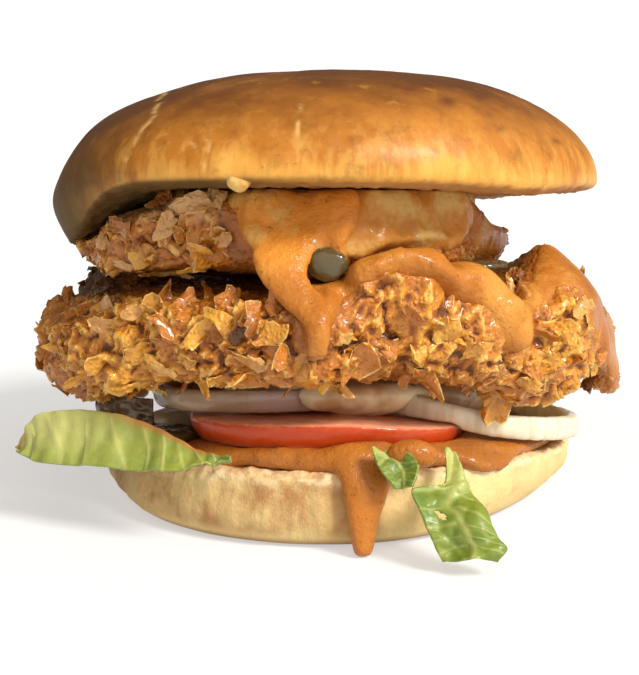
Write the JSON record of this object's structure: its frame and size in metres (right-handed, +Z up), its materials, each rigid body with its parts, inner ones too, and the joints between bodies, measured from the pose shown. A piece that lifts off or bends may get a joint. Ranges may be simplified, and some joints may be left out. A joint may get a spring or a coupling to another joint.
{
  "type": "chicken burger",
  "caption": "Crispy chicken burger: crumbed fillets, melted cheese and burger sauce over onion, tomato and lettuce in a soft round bun, leaning back a little.",
  "frame": {"origin": "centre of the lower bun's flat base, on the table", "axes": "+Z up; -Y is the front, where the sauce and the leaf hang down; +X is to the right of someone facing the front"},
  "size_m": [0.1273, 0.1218, 0.0878],
  "materials": {
    "bun_crust": "baked golden crust with a soft sheen",
    "bun_pale": "pale soft crust, matt",
    "crumb_coating": "fried cornflake crumb, lightly oily",
    "burger_sauce": "smooth wet sauce",
    "spiced_sauce": "smooth wet sauce with fine specks",
    "melted_cheese": "melted, satin",
    "mayonnaise": "smooth cream",
    "tomato": "wet flesh and skin",
    "onion": "translucent, wet",
    "pickle": "wet rind",
    "lettuce_pale": "crisp leaf",
    "lettuce_green": "crisp leaf"
  },
  "bodies": {
    "root": {"bun_bottom": "bun_pale", "bun_top": "bun_crust", "fillet_lower": "crumb_coating", "fillet_upper": "crumb_coating", "cheese_slice": "melted_cheese", "sauce_top": "burger_sauce", "sauce_middle": "burger_sauce", "sauce_base": "spiced_sauce", "mayonnaise": "mayonnaise", "tomato_slice": "tomato", "onion_ring_left": "onion", "onion_ring_right": "onion", "onion_strip_left": "onion", "pickle_left": "pickle", "pickle_front": "pickle", "pickle_right": "pickle", "lettuce_left": "lettuce_pale", "lettuce_front": "lettuce_green", "lettuce_small": "lettuce_green"}
  },
  "joints": []
}
